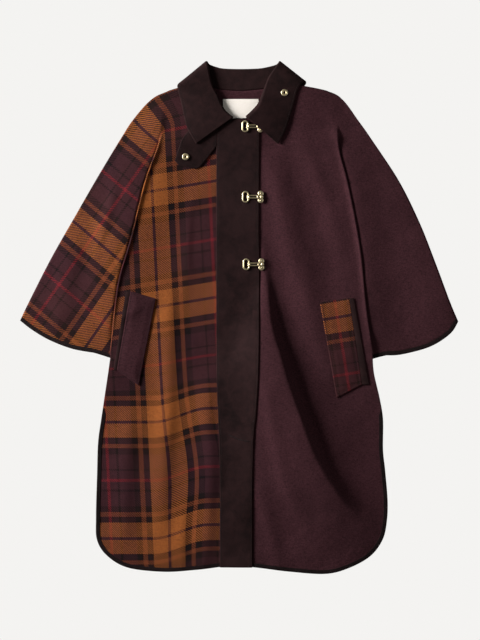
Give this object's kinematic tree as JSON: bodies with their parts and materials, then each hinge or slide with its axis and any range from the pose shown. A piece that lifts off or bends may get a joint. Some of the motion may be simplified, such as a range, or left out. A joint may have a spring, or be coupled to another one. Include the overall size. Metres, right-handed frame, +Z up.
{
  "type": "cape",
  "caption": "Batwing wool cape-coat laid flat: one plaid and one plain front, dark corduroy collar, placket and throat tab, brass hook clasps, bound and rounded hem.",
  "frame": {"origin": "middle of the bounding box, on the surface that the garment lies on", "axes": "+X to the picture's right (the wearer's left), +Y towards the collar, +Z up from the surface"},
  "size_m": [0.8542, 1.0002, 0.0292],
  "materials": {
    "plain_wool": "matte",
    "plaid_wool": "matte",
    "corduroy": "matte",
    "label_cloth": "satin",
    "brass": "polished"
  },
  "bodies": {
    "root": {"back_panel": "plain_wool", "front_left": "plain_wool", "pocket_welt_right": "plain_wool", "front_right": "plaid_wool", "pocket_welt_left": "plaid_wool", "label": "label_cloth", "collar": "corduroy", "placket": "corduroy", "throat_tab": "corduroy", "pocket_facing_right": "corduroy", "pocket_facing_left": "corduroy", "hem_binding_right": "corduroy", "hem_binding_left": "corduroy", "hem_binding_back_right": "corduroy", "hem_binding_back_left": "corduroy", "cuff_binding_right": "corduroy", "cuff_binding_left": "corduroy", "cuff_binding_back_right": "corduroy", "cuff_binding_back_left": "corduroy", "clasp_ring_1": "brass", "clasp_ring_2": "brass", "clasp_ring_3": "brass", "clasp_hook_1": "brass", "clasp_hook_2": "brass", "clasp_hook_3": "brass", "eyelet_tab": "brass", "eyelet_collar": "brass"}
  },
  "joints": []
}
